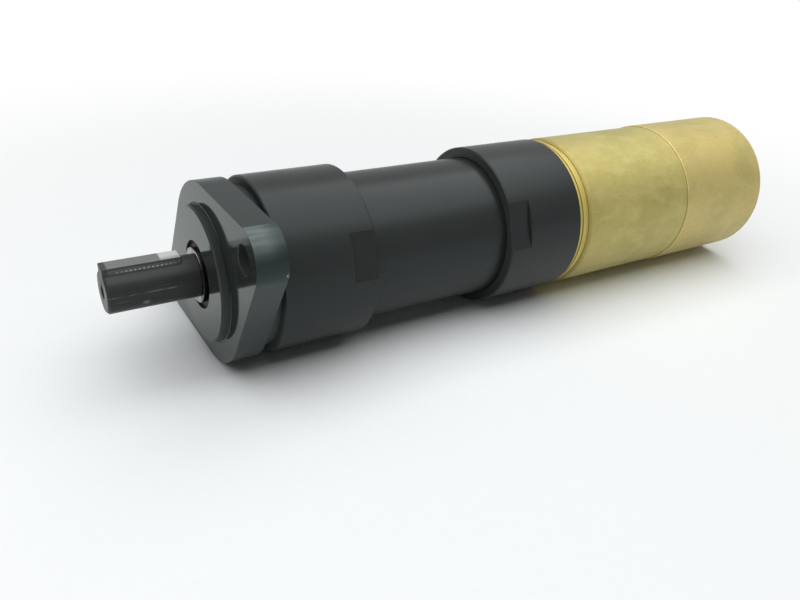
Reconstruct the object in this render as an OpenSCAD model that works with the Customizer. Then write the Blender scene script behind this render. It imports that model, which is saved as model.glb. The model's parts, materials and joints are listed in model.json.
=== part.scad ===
// Air vane motor with a planetary gear stage, a two-bolt flange and a keyed output shaft.
// Millimetres. X is the motor's axis: the shaft points to -X and the air inlet to +X.
// The origin is the centre of the flange's mounting face. +Z is up as the motor lies on a table,
// with one straight side of the flange flat on it.

/* [Output shaft] */
// Diameter of the output shaft
shaft_d = 10; // [8:0.5:12]
// How far the shaft stands out from the flange's mounting face
shaft_reach = 22.8; // [20:0.1:32]
// Bevel around the shaft's tip
shaft_bevel = 0.5; // [0.3:0.1:1.2]
// Width of the key
key_w = 4; // [3:0.5:5]
// Height of the key
key_h = 4; // [3:0.5:5]
// How far the key stands above the shaft
key_stand = 1.2; // [0.8:0.1:1.8]
// Length of the key
key_len = 17; // [10:0.5:17]
// Distance from the shaft's tip to the key
key_setback = 0; // [0:0.1:2]
// Core diameter of the thread in the shaft's tip
end_thread_d = 2.5; // [2:0.1:4]
// Depth of the thread in the shaft's tip
end_thread_depth = 8; // [5:0.5:12]

/* [Flange] */
// Thickness of the flange plate
flange_thick = 6.8; // [6:0.1:9]
// Distance between the two bolt holes
bolt_spacing = 56.6; // [52:0.2:64]
// Diameter of the bolt holes
bolt_hole_d = 6.6; // [5.5:0.1:8]
// Radius of the flange's rounded ends
lobe_r = 7; // [6:0.1:9]
// Diameter of the centring pilot
pilot_d = 32; // [28:0.5:36]
// Height of the centring pilot
pilot_height = 2; // [1.5:0.1:3]
// Width and depth of the relief groove in the flange around the pilot's foot
pilot_relief = 0.4; // [0.2:0.05:0.6]
// Diameter of the neck behind the flange
neck_d = 38.4; // [37.6:0.1:40]
// Length of the neck behind the flange
neck_len = 3.5; // [2.5:0.1:5]
// Diameter of the threaded spigot that screws into the gear housing
spigot_d = 36; // [33:0.2:37]
// Diameter of the bore around the shaft seal
seal_bore_d = 16; // [15:0.2:18]
// How far the shaft seal lies behind the pilot's face
seal_recess = 0.8; // [0.3:0.1:1.2]
// Wall of the spacer ring around the shaft
spacer_wall = 1.45; // [1.2:0.05:1.8]
// How far the spacer ring stands out from the pilot's face
spacer_stand = 0.6; // [0.2:0.1:1]

/* [Black housings] */
// Diameter of the motor tube
tube_d = 37.46; // [37.2:0.02:39]
// Wall of the motor tube
tube_wall = 2; // [1.6:0.1:2.2]
// Length of the motor tube that shows between the housings
tube_visible = 39.6; // [34:0.2:60]
// Length of the tube inside the rear collar
tube_grip = 14.35; // [12:0.05:16]
// Wall of the gear housing around the tube
housing_wall = 2.57; // [2.2:0.01:4]
// Length of the gear housing
housing_len = 23.75; // [21:0.05:30]
// Wall of the rear collar around the tube
collar_wall = 2.7; // [2.4:0.05:4]
// Length of the rear collar
collar_len = 23.9; // [22:0.1:30]
// Bevel inside the collar's front mouth
collar_mouth = 0.3; // [0.2:0.05:1]
// Depth of the spanner flats in the gear housing
flat_depth = 0.8; // [0.5:0.05:1.2]
// Length of the spanner flats
flat_len = 6.5; // [4:0.1:9]
// Angle from the bolt line to the spanner flats
flat_turn = 10.2; // [0:0.1:30]
// Bevel on the housings' edges
edge_bevel = 0.35; // [0.1:0.05:0.6]

/* [Brass exhaust] */
// Wall of the exhaust body outside the tube's diameter
exhaust_wall = 2.63; // [2:0.01:4]
// Length of the exhaust body
exhaust_len = 44.1; // [38:0.1:60]
// Length of the turned ring behind the collar
ring_len = 2.5; // [1.5:0.1:3]
// How far the turned ring lies below the exhaust body
ring_drop = 0.4; // [0.2:0.05:0.8]
// Width and depth of the slit that parts the turned ring
ring_slit = 0.4; // [0.2:0.05:0.6]
// Length of the groove behind the turned ring
groove_len = 1.3; // [1:0.1:3]
// How far the groove lies below the exhaust body
groove_drop = 0.85; // [0.75:0.05:1.2]
// Bevel on the exhaust body's front edge
exhaust_bevel = 0.7; // [0.3:0.05:0.75]
// Wall of the exhaust chamber
chamber_wall = 2.46; // [2:0.02:3.5]
// Thickness of the exhaust body's front wall
front_wall = 6; // [5:0.2:8]
// How much larger the inlet cap is than the exhaust body, in radius
cap_step = 0.34; // [0.1:0.02:0.8]
// Length of the inlet cap that shows
cap_len = 35.8; // [30:0.2:50]
// Length of the cap's spigot inside the exhaust body
cap_spigot_len = 7; // [6:0.2:10]
// Wall of the cap's bore under its spigot
cap_spigot_wall = 2.5; // [2.2:0.1:3.2]
// Thickness of the inlet cap's rear wall
rear_wall = 10.5; // [8:0.1:14]
// Core diameter of the air inlet's thread
inlet_d = 11.8; // [10:0.1:15]
// Depth of the air inlet's thread
inlet_depth = 12; // [10:0.5:14]
// Outer diameter of the inlet tube
inlet_tube_d = 11; // [9:0.2:12]
// Wall of the inlet tube
inlet_tube_wall = 1.3; // [0.8:0.1:2]
// Wall of the hubs that hold the inlet tube
hub_wall = 3.6; // [2:0.1:4]
// Length of the inlet cap's hub
hub_len = 10; // [9:0.2:12]
// Thickness of the porous silencer plug
plug_len = 9; // [6:0.2:10]
// Diameter of the exhaust holes
exhaust_hole_d = 3; // [2:0.1:3.6]
// Number of exhaust holes in the rear wall
exhaust_holes = 10; // [4:1:14]

/* [Bearings] */
// Outer diameter of the output bearings
bearing_od = 26; // [24:0.5:28]
// Width of the output bearings
bearing_w = 8; // [7:0.2:9]
// Distance from the mounting face to the first output bearing
bearing_setback = 2.5; // [2:0.1:3.5]
// Distance between the two output bearings
bearing_gap = 1.2; // [1:0.1:2]
// Bore of the rotor bearings
rotor_bearing_bore = 7; // [6:0.2:8]
// Outer diameter of the rotor bearings
rotor_bearing_od = 19; // [17:0.5:22]
// Width of the rotor bearings
rotor_bearing_w = 6; // [5:0.2:7]
// Number of balls in each bearing
ball_count = 7; // [5:1:7]
// Thickness of the bearing circlip
circlip_thick = 1; // [0.8:0.1:1.4]
// Width of the bearing circlip's band
circlip_band = 2.4; // [2:0.1:3]
// Depth of the bearing circlip's groove
circlip_groove = 0.6; // [0.4:0.05:0.9]

/* [Gears] */
// Number of teeth on the sun gear for each planet gear
teeth_per_planet = 5; // [5:1:6]
// Wall of the ring gear outside its teeth
ring_wall = 2.45; // [1.8:0.05:3.2]
// Width of the gear teeth
gear_w = 9; // [7:0.2:11]
// Gap between meshing tooth flanks
backlash = 0.1; // [0.06:0.01:0.16]
// Thickness of the planet carrier
carrier_thick = 4; // [3:0.2:5]
// Wall of the planet carrier outside its pins
carrier_wall = 2.2; // [1.5:0.1:2.6]
// Diameter of the planet pins
pin_d = 3.5; // [2.5:0.1:4]
// Diameter of the rotor's stub inside the sun gear
stub_d = 5; // [4:0.1:5.6]

/* [Vane motor] */
// Thinnest wall of the cylinder liner
liner_wall = 1.9; // [1.4:0.05:2.6]
// How far the liner's bore lies off the motor's axis
eccentricity = 1.3; // [0.8:0.05:1.8]
// Gap between the rotor and the liner where they come closest
rotor_seal_gap = 0.2; // [0.1:0.02:0.3]
// Thickness of the vanes
vane_thick = 1.6; // [1.2:0.1:2.2]
// Height of the vanes
vane_height = 6; // [5:0.1:6.4]
// Thickness of the end plates' walls beside the rotor
plate_wall = 1.5; // [1.2:0.1:2.5]
// Diameter of the pins that locate the liner
locating_pin_d = 1.6; // [1.2:0.1:1.8]

/* [Fits] */
// Radial gap of a fixed seat
seat_gap = 0.02; // [0.01:0.01:0.04]
// Radial gap of a running fit
run_gap = 0.05; // [0.03:0.01:0.08]
// Axial gap between parts that turn past each other
side_gap = 0.3; // [0.2:0.05:0.5]

/* [Hidden] */
$fn = 96;
eps = 0.01;

// Radii
shaft_r = shaft_d / 2;
bearing_seat_r = bearing_od / 2 + seat_gap;
circlip_groove_r = bearing_seat_r + circlip_groove;
spacer_r = shaft_r + spacer_wall;
tube_r = tube_d / 2;
tube_bore_r = tube_r - tube_wall;
stack_r = tube_bore_r - seat_gap;
housing_r = tube_r + housing_wall;
collar_r = tube_r + collar_wall;
exhaust_r = tube_r + exhaust_wall;
cap_r = exhaust_r + cap_step;
chamber_r = exhaust_r - chamber_wall;
cap_bore_r = chamber_r - cap_spigot_wall;
hub_r = inlet_tube_d / 2 + hub_wall;
flat_r = housing_r - flat_depth;

// Places along the axis, from the shaft's tip to the rear end
shaft_tip_x = -shaft_reach;
key_x0 = shaft_tip_x + key_setback;
bearing_x0 = bearing_setback;
bearing_x1 = bearing_x0 + bearing_w + bearing_gap;
circlip_x0 = bearing_x1 + bearing_w;
circlip_x1 = circlip_x0 + circlip_thick;
spigot_lip = 1.3;
spigot_x1 = circlip_x1 + spigot_lip;
housing_x0 = flange_thick + neck_len;
housing_x1 = housing_x0 + housing_len;
collar_x0 = housing_x1 + tube_visible;
collar_x1 = collar_x0 + collar_len;
tube_x1 = collar_x0 + tube_grip;
plate_proud = 0.6;
exhaust_x0 = tube_x1 + plate_proud;
exhaust_x1 = collar_x1 + exhaust_len;
ring_x1 = collar_x1 + ring_len;
groove_x1 = ring_x1 + groove_len;
cap_x0 = exhaust_x1 - cap_spigot_len;
cap_x1 = exhaust_x1 + cap_len;

// Planetary gears: the ring gear fills the tube, and the module follows from its wall
planet_count = 3;
sun_teeth = planet_count * teeth_per_planet;
planet_teeth = sun_teeth;
ring_teeth = sun_teeth + 2 * planet_teeth;
pressure_angle = 20;
tip_share = 0.95;
ring_tip_share = 0.7;
root_share = 1.25;
gear_module = (stack_r - ring_wall) / (ring_teeth / 2 + root_share);
orbit_r = gear_module * (sun_teeth + planet_teeth) / 2;
planet_tip_r = gear_module * (planet_teeth / 2 + tip_share);
carrier_r = orbit_r + pin_d / 2 + carrier_wall;
carrier_bore_r = max(carrier_r, orbit_r + planet_tip_r) + side_gap;
carrier_clear = 1;
carrier_x0 = spigot_x1 + carrier_clear;
carrier_x1 = carrier_x0 + carrier_thick;
planet_x0 = carrier_x1 + 2 * side_gap;
planet_x1 = planet_x0 + gear_w;
pin_head_thick = 0.6;
pin_head_lip = 0.8;
pin_head_r = pin_d / 2 + pin_head_lip;
pin_x1 = planet_x1 + side_gap + pin_head_thick;
sun_x0 = carrier_x1 + side_gap;
sun_x1 = planet_x1 + 2 * side_gap;
gear_end_gap = 1.3;
ring_gear_x1 = pin_x1 + gear_end_gap;
function orbit_angle(i) = 90 + 360 / planet_count * (i - 1);
sun_turn = orbit_angle(1) + (planet_teeth % 2 == 0 ? 180 / sun_teeth : 0);

// Vane motor, between the ring gear and the exhaust body
vane_count = 5;
plate_thick = rotor_bearing_w + plate_wall;
liner_x0 = ring_gear_x1 + plate_thick;
liner_x1 = exhaust_x0 - plate_thick;
liner_bore_r = stack_r - eccentricity - liner_wall;
rotor_r = liner_bore_r - eccentricity - rotor_seal_gap;
rotor_x0 = liner_x0 + run_gap;
rotor_x1 = liner_x1 - run_gap;
journal_r = rotor_bearing_bore / 2;
journal_shoulder = 0.9;
journal_shoulder_r = journal_r + journal_shoulder;
journal_hole_gap = 0.2;
journal_hole_r = journal_shoulder_r + journal_hole_gap;
slot_floor_gap = 0.4;
slot_floor_r = rotor_r - vane_height - slot_floor_gap;
vane_tip_r = rotor_r - run_gap;
port_r = 1.1;
vent_r = 1.43;
port_orbit_r = (stack_r + liner_bore_r - eccentricity) / 2;
inlet_angle = 120;
exhaust_angle = 30;
exhaust_slot_w = 6;
exhaust_slot_depth = 1.2;
pin_angle = 200;
pin_edge = 0.5;
pin_orbit_r = stack_r - locating_pin_d / 2 - pin_edge;
pin_reach = 3;
function vane_angle(i) = 270 + 360 / vane_count * (i - 1);

// Flange outline: the straight sides touch the housing's circle and the rounded ends
lobe_c = bolt_spacing / 2;
side_angle = acos((housing_r - lobe_r) / lobe_c);
lobe_angle = 90 + side_angle;
flat_angle = lobe_angle + flat_turn;

// Colours
black = [0.13, 0.14, 0.14];
shaft_black = [0.16, 0.17, 0.17];
brass = [0.72, 0.62, 0.33];
steel = [0.72, 0.73, 0.74];
iron = [0.42, 0.43, 0.44];
rubber = [0.07, 0.07, 0.07];
bronze = [0.62, 0.5, 0.3];
phenolic = [0.45, 0.28, 0.14];

// Stands children up along the motor's axis, starting at x: their own x and y become Y and Z
module along_x(x = 0) {
  translate([x, 0, 0]) rotate([90, 0, 90]) children();
}

// Turns an outline of [radius, x] points around the motor's axis
module turned(outline) {
  along_x() rotate_extrude() polygon(outline);
}

// A plain ring around the axis
module ring(r_out, r_in, x0, x1) {
  turned([[r_in, x0], [r_out, x0], [r_out, x1], [r_in, x1]]);
}

// A drilling parallel to the axis, at an angle and a distance from it
module drilling(r, x0, x1, angle = 0, orbit = 0) {
  along_x(x0) rotate(angle) translate([orbit, 0, 0]) cylinder(r = r, h = x1 - x0);
}

// A rectangular cut along the axis, from one radius to another
module channel(w, r0, r1, x0, x1, angle) {
  along_x(x0) rotate(angle) translate([r0, -w / 2, 0]) cube([r1 - r0, w, x1 - x0]);
}

// Two opposite spanner flats
module spanner_flats(x0, x1) {
  for (side = [0, 180])
    channel(4 * housing_r, flat_r, 2 * housing_r, x0, x1, flat_angle + side);
}

// Involute gear outline with a tooth on the first axis
function involute(a) = tan(a) - a * PI / 180;
function flank_angle(r, base_r) = r > base_r ? acos(base_r / r) : 0;
function half_tooth(r, pitch_r, teeth, slack) =
  90 / teeth - slack / pitch_r * 90 / PI
  + (involute(pressure_angle) - involute(flank_angle(r, pitch_r * cos(pressure_angle)))) * 180 / PI;
function gear_outline(teeth, root_r, tip_r, slack) =
  let (pitch_r = gear_module * teeth / 2)
  let (base_r = max(root_r, pitch_r * cos(pressure_angle)))
  let (flank = [root_r, for (k = [0:3]) base_r + (tip_r - base_r) * k / 3])
  [
    for (i = [0:teeth - 1], side = [-1, 1], k = [0:4])
      let (r = flank[side < 0 ? k : 4 - k])
      let (a = 360 / teeth * i + side * half_tooth(r, pitch_r, teeth, slack))
      [r * cos(a), r * sin(a)]
  ];

module spur_gear(teeth, x0, x1, turn) {
  pitch_r = gear_module * teeth / 2;
  along_x(x0) rotate(turn) linear_extrude(x1 - x0)
    polygon(gear_outline(
      teeth, pitch_r - root_share * gear_module, pitch_r + tip_share * gear_module, backlash));
}

// Ball bearing parts
ball_share = 0.29;
shoulder_share = 0.19;
cage_share = 0.1;
cage_side = 0.5;
function bearing_pitch(bore_r, od_r) = (bore_r + od_r) / 2;
function ball_r(bore_r, od_r) = ball_share * (od_r - bore_r);

module race_ring(r_in, r_out, pitch, ball, w, x0) {
  along_x(x0) rotate_extrude() difference() {
    translate([r_in, 0]) square([r_out - r_in, w]);
    translate([pitch, w / 2]) circle(r = ball + run_gap);
  }
}

module bearing_outer(bore_r, od_r, w, x0) {
  pitch = bearing_pitch(bore_r, od_r);
  color(steel)
    race_ring(pitch + shoulder_share * (od_r - bore_r), od_r, pitch, ball_r(bore_r, od_r), w, x0);
}

module bearing_inner(bore_r, od_r, w, x0) {
  pitch = bearing_pitch(bore_r, od_r);
  color(steel)
    race_ring(
      bore_r + seat_gap, pitch - shoulder_share * (od_r - bore_r), pitch, ball_r(bore_r, od_r), w, x0);
}

module bearing_balls(bore_r, od_r, w, x0) {
  color(steel)
    for (i = [0:ball_count - 1])
      along_x(x0 + w / 2) rotate(360 / ball_count * i) translate([bearing_pitch(bore_r, od_r), 0, 0])
        sphere(r = ball_r(bore_r, od_r));
}

module bearing_cage(bore_r, od_r, w, x0) {
  pitch = bearing_pitch(bore_r, od_r);
  half_w = ball_r(bore_r, od_r) + cage_side;
  half_t = cage_share * (od_r - bore_r);
  color(brass) difference() {
    ring(pitch + half_t, pitch - half_t, x0 + w / 2 - half_w, x0 + w / 2 + half_w);
    for (i = [0:ball_count - 1])
      along_x(x0 + w / 2) rotate(360 / ball_count * i) rotate([0, 90, 0])
        cylinder(r = ball_r(bore_r, od_r) + run_gap, h = 2 * pitch);
  }
}

module output_bearing(part, x0) {
  od_r = bearing_od / 2;
  if (part == "outer") bearing_outer(shaft_r, od_r, bearing_w, x0);
  if (part == "inner") bearing_inner(shaft_r, od_r, bearing_w, x0);
  if (part == "balls") bearing_balls(shaft_r, od_r, bearing_w, x0);
  if (part == "cage") bearing_cage(shaft_r, od_r, bearing_w, x0);
}

module rotor_bearing(part, x0) {
  od_r = rotor_bearing_od / 2;
  if (part == "outer") bearing_outer(journal_r, od_r, rotor_bearing_w, x0);
  if (part == "inner") bearing_inner(journal_r, od_r, rotor_bearing_w, x0);
  if (part == "balls") bearing_balls(journal_r, od_r, rotor_bearing_w, x0);
  if (part == "cage") bearing_cage(journal_r, od_r, rotor_bearing_w, x0);
}

// Output shaft with the planet carrier at its inner end
module output_shaft() {
  shoulder_step = 2;
  shoulder_r = shaft_r + shoulder_step;
  seat_floor = shaft_r + key_stand - key_h;
  color(shaft_black) difference() {
    turned([
      [0, shaft_tip_x], [shaft_r - shaft_bevel, shaft_tip_x], [shaft_r, shaft_tip_x + shaft_bevel],
      [shaft_r, circlip_x0], [shoulder_r, circlip_x0], [shoulder_r, carrier_x0],
      [carrier_r, carrier_x0], [carrier_r, carrier_x1], [0, carrier_x1]
    ]);
    drilling(end_thread_d / 2, shaft_tip_x - eps, shaft_tip_x + end_thread_depth);
    channel(
      key_w + 2 * seat_gap, seat_floor, 2 * shaft_r, key_x0 - seat_gap, key_x0 + key_len + seat_gap, 90);
    for (i = [1:planet_count])
      drilling(pin_d / 2 + seat_gap, carrier_x0 - eps, carrier_x1 + eps, orbit_angle(i), orbit_r);
  }
}

module shaft_key() {
  color(shaft_black)
    channel(key_w, shaft_r + key_stand - key_h, shaft_r + key_stand, key_x0, key_x0 + key_len, 90);
}

module shaft_spacer() {
  bevel = spacer_wall / 4;
  x0 = -pilot_height - spacer_stand;
  color(steel) turned([
    [shaft_r + seat_gap, x0], [spacer_r - bevel, x0], [spacer_r, x0 + bevel],
    [spacer_r, bearing_x0], [shaft_r + seat_gap, bearing_x0]
  ]);
}

module shaft_seal() {
  color(rubber)
    ring(seal_bore_d / 2 - seat_gap, spacer_r + run_gap, seal_recess - pilot_height, bearing_x0 - side_gap);
}

// Two-bolt flange with its pilot, neck and spigot
module flange_outline() {
  tangent = [cos(side_angle), sin(side_angle)];
  side = [for (end = [1, -1], flank = [1, -1])
    let (n = [end * tangent[0], end * flank * tangent[1]])
    each [n * (housing_r - eps), [end * lobe_c, 0] + n * (lobe_r - eps)]];
  circle(r = housing_r);
  for (end = [1, -1])
    translate([end * lobe_c, 0]) circle(r = lobe_r);
  polygon([side[0], side[1], side[3], side[2], side[4], side[5], side[7], side[6]]);
}

module front_flange() {
  pilot_r = pilot_d / 2;
  spigot_r = spigot_d / 2;
  mid_x = flange_thick / 2;
  color(black) difference() {
    union() {
      along_x() rotate(lobe_angle) linear_extrude(flange_thick) flange_outline();
      turned([
        [0, -pilot_height], [pilot_r - edge_bevel, -pilot_height], [pilot_r, edge_bevel - pilot_height],
        [pilot_r, mid_x], [neck_d / 2, mid_x], [neck_d / 2, housing_x0], [spigot_r, housing_x0],
        [spigot_r, spigot_x1], [0, spigot_x1]
      ]);
    }
    ring(pilot_r + pilot_relief, pilot_r - pilot_relief / 2, -pilot_relief / 2, pilot_relief);
    drilling(seal_bore_d / 2, -pilot_height - eps, bearing_x0 + eps);
    drilling(bearing_seat_r, bearing_x0, spigot_x1 + eps);
    drilling(circlip_groove_r, circlip_x0, circlip_x1);
    for (end = [0, 180])
      drilling(bolt_hole_d / 2, -eps, flange_thick + eps, lobe_angle + end, lobe_c);
  }
}

module bearing_spacer() {
  color(steel)
    ring(shaft_r + spacer_wall, shaft_r + seat_gap, bearing_x0 + bearing_w, bearing_x1);
}

// Conical washer that pushes the two outer rings apart
module spring_washer() {
  edge_gap = 0.2;
  od_r = bearing_od / 2;
  r_out = od_r - edge_gap;
  r_in = bearing_pitch(shaft_r, od_r) + shoulder_share * (od_r - shaft_r) + edge_gap;
  x0 = bearing_x0 + bearing_w;
  thick = bearing_gap / 2;
  color(steel) turned([[r_in, bearing_x1 - thick], [r_out, x0], [r_out, x0 + thick], [r_in, bearing_x1]]);
}

module bearing_circlip() {
  r_out = circlip_groove_r - seat_gap;
  r_in = r_out - circlip_band;
  opening = 5;
  color(iron) difference() {
    ring(r_out, r_in, circlip_x0, circlip_x1);
    channel(opening, r_in / 2, 2 * r_out, circlip_x0 - eps, circlip_x1 + eps, 270);
  }
}

module gear_housing() {
  spigot_bore_r = spigot_d / 2 + seat_gap;
  tube_seat_r = tube_r + seat_gap;
  color(black) difference() {
    turned([
      [spigot_bore_r, housing_x0], [housing_r - edge_bevel, housing_x0],
      [housing_r, housing_x0 + edge_bevel], [housing_r, housing_x1 - edge_bevel],
      [housing_r - edge_bevel, housing_x1], [tube_seat_r, housing_x1],
      [tube_seat_r, spigot_x1], [spigot_bore_r, spigot_x1]
    ]);
    spanner_flats(housing_x1 - flat_len, housing_x1 + eps);
  }
}

// Ring gear with a plain front bore around the carrier
module ring_gear() {
  pitch_r = gear_module * ring_teeth / 2;
  tip_r = pitch_r - ring_tip_share * gear_module;
  root_r = pitch_r + root_share * gear_module;
  teeth_x0 = carrier_x1 + side_gap;
  color(iron) difference() {
    ring(stack_r, tip_r / 2, spigot_x1, ring_gear_x1);
    drilling(carrier_bore_r, spigot_x1 - eps, teeth_x0);
    along_x(spigot_x1) rotate(orbit_angle(1)) linear_extrude(ring_gear_x1 - spigot_x1 + eps)
      polygon(gear_outline(ring_teeth, tip_r, root_r, -backlash));
  }
}

module sun_gear() {
  color(steel) difference() {
    spur_gear(sun_teeth, sun_x0, sun_x1, sun_turn);
    drilling(stub_d / 2 + seat_gap, sun_x0 - eps, sun_x1 + eps);
  }
}

module planet_gear(i) {
  place = orbit_r * [0, cos(orbit_angle(i)), sin(orbit_angle(i))];
  color(steel) translate(place) difference() {
    spur_gear(planet_teeth, planet_x0, planet_x1, orbit_angle(i));
    drilling(pin_d / 2 + run_gap, planet_x0 - eps, planet_x1 + eps);
  }
}

module planet_pin(i) {
  place = orbit_r * [0, cos(orbit_angle(i)), sin(orbit_angle(i))];
  head_x0 = pin_x1 - pin_head_thick;
  color(steel) translate(place) turned([
    [0, carrier_x0], [pin_d / 2, carrier_x0], [pin_d / 2, head_x0],
    [pin_head_r, head_x0], [pin_head_r, pin_x1], [0, pin_x1]
  ]);
}

// Slotted rotor with its journals and the stub that carries the sun gear
module rotor() {
  front_x = liner_x0 - plate_wall;
  rear_x = liner_x1 + plate_wall;
  color(iron) difference() {
    turned([
      [0, sun_x0], [stub_d / 2, sun_x0], [stub_d / 2, ring_gear_x1 - side_gap],
      [journal_r, ring_gear_x1 - side_gap], [journal_r, front_x], [journal_shoulder_r, front_x],
      [journal_shoulder_r, rotor_x0], [rotor_r, rotor_x0], [rotor_r, rotor_x1],
      [journal_shoulder_r, rotor_x1], [journal_shoulder_r, rear_x], [journal_r, rear_x],
      [journal_r, exhaust_x0 - side_gap], [0, exhaust_x0 - side_gap]
    ]);
    for (i = [1:vane_count])
      channel(
        vane_thick + 2 * run_gap, slot_floor_r, 2 * rotor_r, rotor_x0 - eps, rotor_x1 + eps, vane_angle(i));
  }
}

module vane(i) {
  color(phenolic)
    channel(vane_thick, vane_tip_r - vane_height, vane_tip_r, rotor_x0, rotor_x1, vane_angle(i));
}

// Liner with an eccentric bore, an inlet drilling with feed slots, and exhaust slots into a rear channel
module cylinder_liner() {
  feeds = 3;
  pitch = (liner_x1 - liner_x0) / feeds;
  slot_len = pitch / 2;
  slot_x0 = liner_x0 + slot_len / 2;
  bore_low = liner_bore_r - eccentricity;
  color(iron) difference() {
    along_x(liner_x0) cylinder(r = stack_r, h = liner_x1 - liner_x0);
    translate([0, 0, -eccentricity]) drilling(liner_bore_r, liner_x0 - eps, liner_x1 + eps);
    drilling(port_r, slot_x0, liner_x1 + eps, inlet_angle, port_orbit_r);
    exhaust_slot(slot_x0, liner_x1 + eps);
    for (i = [0:feeds - 1]) {
      x0 = slot_x0 + pitch * i;
      channel(port_r, bore_low / 2, port_orbit_r, x0, x0 + slot_len, inlet_angle);
      channel(exhaust_slot_w / 2, bore_low / 2, stack_r, x0, x0 + slot_len, exhaust_angle);
    }
    for (x = [liner_x0, liner_x1])
      locating_pin_at(x, seat_gap);
  }
}

// Flat channel down the outside, which leads the spent air to the rear
module exhaust_slot(x0, x1) {
  channel(exhaust_slot_w, stack_r - exhaust_slot_depth, 2 * stack_r, x0, x1, exhaust_angle);
}

module locating_pin_at(x, grow) {
  drilling(locating_pin_d / 2 + grow, x - pin_reach - grow, x + pin_reach + grow, pin_angle, pin_orbit_r);
}

module locating_pins() {
  color(steel)
    for (x = [liner_x0, liner_x1])
      locating_pin_at(x, 0);
}

module front_end_plate() {
  color(iron) difference() {
    ring(stack_r, journal_hole_r, ring_gear_x1, liner_x0);
    drilling(rotor_bearing_od / 2 + seat_gap, ring_gear_x1 - eps, liner_x0 - plate_wall);
    locating_pin_at(liner_x0, seat_gap);
  }
}

module rear_end_plate() {
  color(iron) difference() {
    ring(stack_r, journal_hole_r, liner_x1, exhaust_x0);
    drilling(rotor_bearing_od / 2 + seat_gap, liner_x1 + plate_wall, exhaust_x0 + eps);
    drilling(port_r, liner_x1 - eps, exhaust_x0 + eps, inlet_angle, port_orbit_r);
    exhaust_slot(liner_x1 - eps, exhaust_x0 + eps);
    locating_pin_at(liner_x1, seat_gap);
  }
}

module motor_tube() {
  color(black) ring(tube_r, tube_bore_r, spigot_x1, tube_x1);
}

module rear_collar() {
  seat_r = tube_r + seat_gap;
  color(black) difference() {
    turned([
      [seat_r + collar_mouth, collar_x0], [collar_r - edge_bevel, collar_x0],
      [collar_r, collar_x0 + edge_bevel],
      [collar_r, collar_x1 - edge_bevel / 2], [collar_r - edge_bevel / 2, collar_x1], [seat_r, collar_x1],
      [seat_r, collar_x0 + collar_mouth]
    ]);
    spanner_flats(collar_x0 - eps, collar_x0 + flat_len);
  }
}

// Groove of an O-ring that fills the gap between a spigot and its bore
o_ring_depth = 1.2;
o_ring_groove = 1.8;
module o_ring(spigot_r, bore_r, x) {
  floor_r = spigot_r - o_ring_depth;
  section_r = (bore_r - floor_r) / 2 - seat_gap / 2;
  color(rubber) along_x(x) rotate_extrude()
    translate([(bore_r + floor_r) / 2, 0]) circle(r = section_r, $fn = 32);
}

module o_ring_cut(spigot_r, x) {
  ring(2 * spigot_r, spigot_r - o_ring_depth, x - o_ring_groove / 2, x + o_ring_groove / 2);
}

spigot_ring_setback = 2;
spigot_ring_x = collar_x1 - spigot_ring_setback;
cap_ring_x = exhaust_x1 - cap_spigot_len / 2;

// Brass exhaust body: threaded spigot, parted ring, groove and chamber
module exhaust_body() {
  spigot_r = tube_r;
  ring_r = exhaust_r - ring_drop;
  groove_r = exhaust_r - groove_drop;
  slit_x = (collar_x1 + ring_x1) / 2;
  wall_x1 = exhaust_x0 + front_wall;
  plenum_x1 = exhaust_x0 + front_wall / 2;
  hub_x1 = wall_x1 + front_wall / 2;
  neck_wall = 1.1;
  neck_bore_r = spigot_r - o_ring_depth - neck_wall;
  chamber_step = 0.5;
  chamber_x0 = groove_x1 + chamber_step;
  vents = 3;
  vent_turn = 24;
  color(brass) difference() {
    union() {
      turned([
        [0, exhaust_x0], [spigot_r, exhaust_x0], [spigot_r, collar_x1], [ring_r, collar_x1],
        [ring_r, ring_x1], [groove_r, ring_x1], [groove_r, groove_x1],
        [exhaust_r - exhaust_bevel, groove_x1], [exhaust_r, groove_x1 + exhaust_bevel],
        [exhaust_r, exhaust_x1], [chamber_r, exhaust_x1], [chamber_r, chamber_x0],
        [neck_bore_r, chamber_x0], [neck_bore_r, wall_x1], [0, wall_x1]
      ]);
      ring(hub_r, inlet_tube_d / 4, wall_x1 - eps, hub_x1);
    }
    ring(exhaust_r, ring_r - ring_slit, slit_x - ring_slit / 2, slit_x + ring_slit / 2);
    o_ring_cut(spigot_r, spigot_ring_x);
    drilling(inlet_tube_d / 2 + seat_gap, plenum_x1, hub_x1 + eps);
    drilling(inlet_tube_d / 2 - inlet_tube_wall, exhaust_x0 - eps, plenum_x1 + eps);
    channel(2 * port_r, 0, port_orbit_r + port_r, exhaust_x0 - eps, exhaust_x0 + 2 * port_r, inlet_angle);
    for (i = [0:vents - 1])
      drilling(vent_r, exhaust_x0 - eps, wall_x1 + eps, exhaust_angle + vent_turn * (i - 1), port_orbit_r);
  }
}

module spigot_o_ring() {
  o_ring(tube_r, tube_r + seat_gap, spigot_ring_x);
}

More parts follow.
